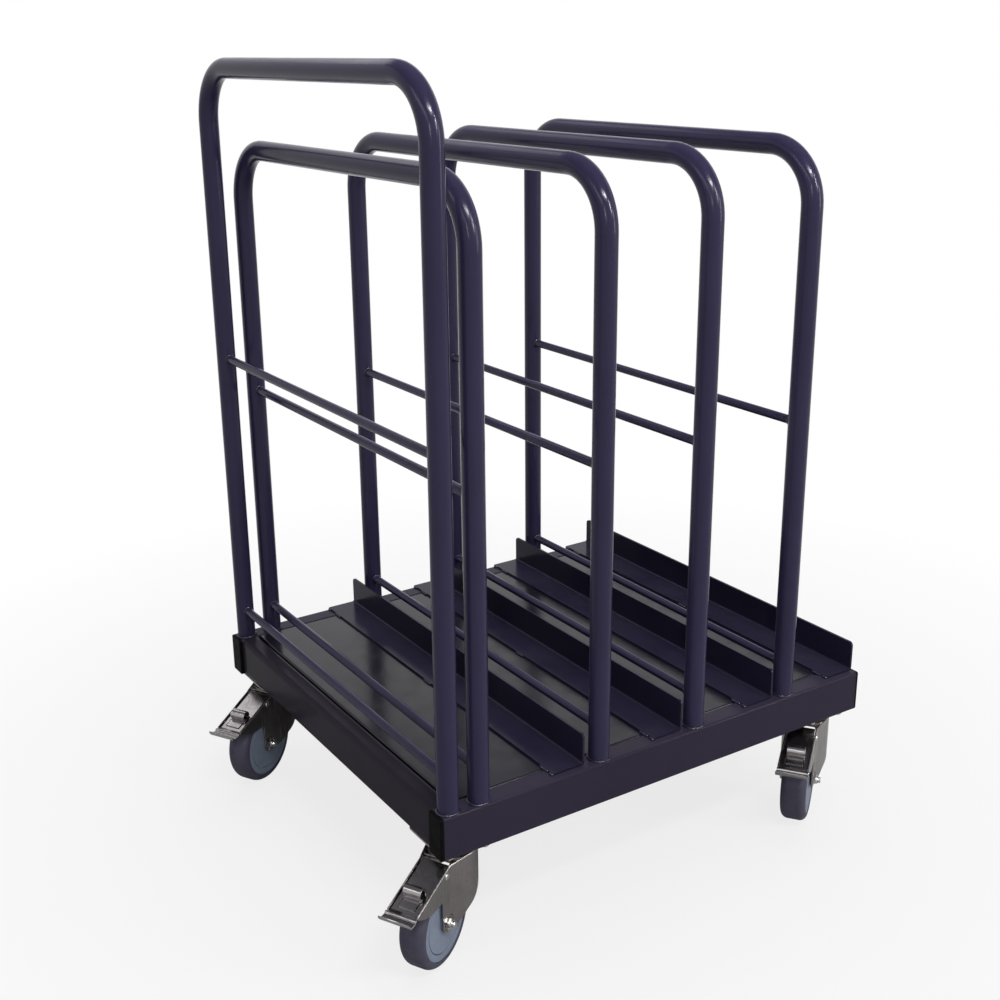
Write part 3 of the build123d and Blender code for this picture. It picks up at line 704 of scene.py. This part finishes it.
def rounded_copy(node, name, width, cuts=()):
    """Copy of a CAD piece with its sharp edges rounded; flat faces are parted at the cuts."""
    piece = bpy.data.objects.new(name, nodes[node].data.copy())
    scene.collection.objects.link(piece)
    pick(piece)
    bpy.ops.object.mode_set(mode="EDIT")
    bpy.ops.mesh.select_all(action="SELECT")
    bpy.ops.mesh.remove_doubles(threshold=TOLERANCE)
    for place, direction in cuts:
        bpy.ops.mesh.select_all(action="SELECT")
        bpy.ops.mesh.bisect(plane_co=place, plane_no=direction)
        bpy.ops.mesh.mark_seam(clear=False)
    bpy.ops.mesh.select_all(action="SELECT")
    bpy.ops.mesh.dissolve_limited(angle_limit=FLAT_ANGLE, delimit={"SEAM"})
    bpy.ops.object.mode_set(mode="OBJECT")
    apply_modifier(piece, "BEVEL", width=width, segments=ROUNDING_SEGMENTS, limit_method="ANGLE",
                   angle_limit=SHARP_ANGLE, use_clamp_overlap=False)
    smooth(piece, degrees=35)
    apply_modifier(piece, "WEIGHTED_NORMAL", mode="FACE_AREA", keep_sharp=True)
    return piece


def caster_pattern(kind, width, cuts=()):
    """Rounded copy of one caster's piece, brought to the origin and turned to heading zero."""
    pattern = rounded_copy(f"{kind}_{PATTERN_CASTER}", f"{kind}_pattern", width, cuts)
    back = -heading(PATTERN_CASTER)
    pattern.rotation_euler = (0, 0, back)
    swivel = Vector(joints[f"swivel_{PATTERN_CASTER}"]["pos_m"])
    pattern.location = Matrix.Rotation(back, 3, "Z") @ -swivel
    apply_place(pattern)
    return pattern


fork_pattern = caster_pattern("fork", FORK_ROUNDING, hole_cuts(PATTERN_CASTER))
pedal_pattern = caster_pattern("brake_pedal", PEDAL_ROUNDING)
for caster in CASTER_NAMES:
    turn = (0, 0, heading(caster))
    swivel = joints[f"swivel_{caster}"]["pos_m"]
    plate = rounded_copy(f"top_plate_{caster}", f"rounded_top_plate_{caster}", EDGE_ROUNDING)
    fork = copy_to(fork_pattern, f"rounded_fork_{caster}", swivel, turn)
    pedal = copy_to(pedal_pattern, f"rounded_brake_pedal_{caster}", swivel, turn)
    sheet_pieces = (("top_plate", plate, "frame", FORK_ZINC_SHADED), ("fork", fork, f"swivel_{caster}", FORK_ZINC_SHADED),
                    ("brake_pedal", pedal, f"pedal_{caster}", PEDAL_ZINC))
    for kind, piece, body, finish in sheet_pieces:
        dress(piece, finish, body)
        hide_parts(f"{kind}_{caster}")
    for kind in ("hub", "side_discs"):
        piece = rounded_copy(f"{kind}_{caster}", f"rounded_{kind}_{caster}", EDGE_ROUNDING)
        dress(piece, NYLON, f"wheel_{caster}")
        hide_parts(f"{kind}_{caster}")
discard(fork_pattern, pedal_pattern)


# Floor and backdrop

FLOOR_RADIUS = 30.0
BACKDROP_RADIUS = 9.0
BACKDROP_HEIGHT = 6.0


def floor_finish():
    """Pale floor that turns to plain white away from the cart."""
    material, tree, shader, place = finish_start("pale_floor")
    shader.inputs["Base Color"].default_value = (0.55, 0.55, 0.55, 1)
    shader.inputs["Roughness"].default_value = 0.7
    shader.inputs["Specular IOR Level"].default_value = 0.1
    white = tree.nodes.new("ShaderNodeEmission")
    white.inputs["Color"].default_value = (1, 1, 1, 1)
    distance = tree.nodes.new("ShaderNodeVectorMath")
    distance.operation = "LENGTH"
    tree.links.new(place, distance.inputs[0])
    away = span(tree, distance.outputs["Value"], low=0.0, high=1.0, start=0.5, end=1.6)
    shade = span(tree, distance.outputs["Value"], low=0.80, high=1.0, start=0.5, end=1.4)
    rays = tree.nodes.new("ShaderNodeLightPath")
    mirrored = combine(tree, "MAXIMUM", rays.outputs["Is Glossy Ray"], rays.outputs["Is Transmission Ray"])
    seen = combine(tree, "MULTIPLY", shade, rays.outputs["Is Camera Ray"])
    white_share = combine(tree, "MAXIMUM", seen, combine(tree, "MULTIPLY", away, mirrored))
    mixer = tree.nodes.new("ShaderNodeMixShader")
    tree.links.new(white_share, mixer.inputs["Fac"])
    tree.links.new(shader.outputs[0], mixer.inputs[1])
    tree.links.new(white.outputs[0], mixer.inputs[2])
    tree.links.new(mixer.outputs[0], tree.nodes["Material Output"].inputs["Surface"])
    return material


pale_floor = floor_finish()
deselect_all()
bpy.ops.mesh.primitive_circle_add(vertices=96, radius=FLOOR_RADIUS, fill_type="NGON", location=(0, 0, 0))
floor = named("floor")
coat(floor, pale_floor)

deselect_all()
bpy.ops.mesh.primitive_cylinder_add(vertices=96, radius=BACKDROP_RADIUS, depth=BACKDROP_HEIGHT,
                                    end_fill_type="NOTHING", location=(0, 0, BACKDROP_HEIGHT / 2))
backdrop = named("backdrop")
apply_place(backdrop)
coat(backdrop, pale_floor)


# Light and camera

def softbox(name, place, target, size, power):
    """Rectangular lamp that points at a place and that the camera doesn't see."""
    lamp = bpy.data.lights.new(name, "AREA")
    lamp.shape = "RECTANGLE"
    lamp.size, lamp.size_y = size
    lamp.energy = power
    light = bpy.data.objects.new(name, lamp)
    scene.collection.objects.link(light)
    light.location = place
    light.rotation_euler = (Vector(target) - Vector(place)).to_track_quat("-Z", "Y").to_euler()
    light.visible_camera = False
    return light


softbox("key_light", place=(-0.4, -2.3, 3.3), target=(0.0, 0.0, 0.6), size=(1.5, 0.30), power=55)
softbox("front_light", place=(-2.0, -2.7, 1.9), target=(0.0, 0.0, 0.7), size=(0.16, 0.80), power=14)
softbox("right_light", place=(2.1, -2.5, 1.3), target=(0.0, 0.0, 0.6), size=(0.40, 1.50), power=26)
left = softbox("left_light", place=(-3.0, -0.9, 2.9), target=(-0.2, -0.2, 0.3), size=(3.8, 0.5), power=34)
spark = softbox("spark_light", place=(-0.1, -2.3, 3.0), target=(0.0, 0.0, 0.9), size=(0.9, 0.16), power=70)
glint = softbox("glint_light", place=(1.0, -2.6, 2.3), target=(0.0, 0.0, 0.8), size=(0.16, 0.9), power=60)
for reflection in (left, spark, glint):
    reflection.visible_diffuse = False
softbox("back_board", place=(-0.28, 2.49, 2.76), target=(-0.44, 0.2, 0.12), size=(1.4, 0.7), power=5)
ceiling = softbox("ceiling_light", place=(0.4, 0.4, 3.6), target=(0.0, 0.0, 0.3), size=(3.0, 3.0), power=70)
ceiling.visible_glossy = False

world = bpy.data.worlds.new("studio")
scene.world = world
world.use_nodes = True
background = world.node_tree.nodes["Background"]
background.inputs["Color"].default_value = (0.92, 0.95, 1.0, 1)
background.inputs["Strength"].default_value = 0.25

camera_data = bpy.data.cameras.new("camera")
camera_data.sensor_width = 36.0
camera_data.lens = 48.55
camera_data.shift_x = 0.0978
camera_data.shift_y = -0.0285
camera_data.clip_end = 200.0
camera = bpy.data.objects.new("camera", camera_data)
scene.collection.objects.link(camera)
camera.location = (-1.08907, -1.54347, DECK_TOP + 0.91872)
camera.rotation_euler = (1.25220, 0.03179, -0.52523)
scene.camera = camera
scene.view_settings.view_transform = "Standard"
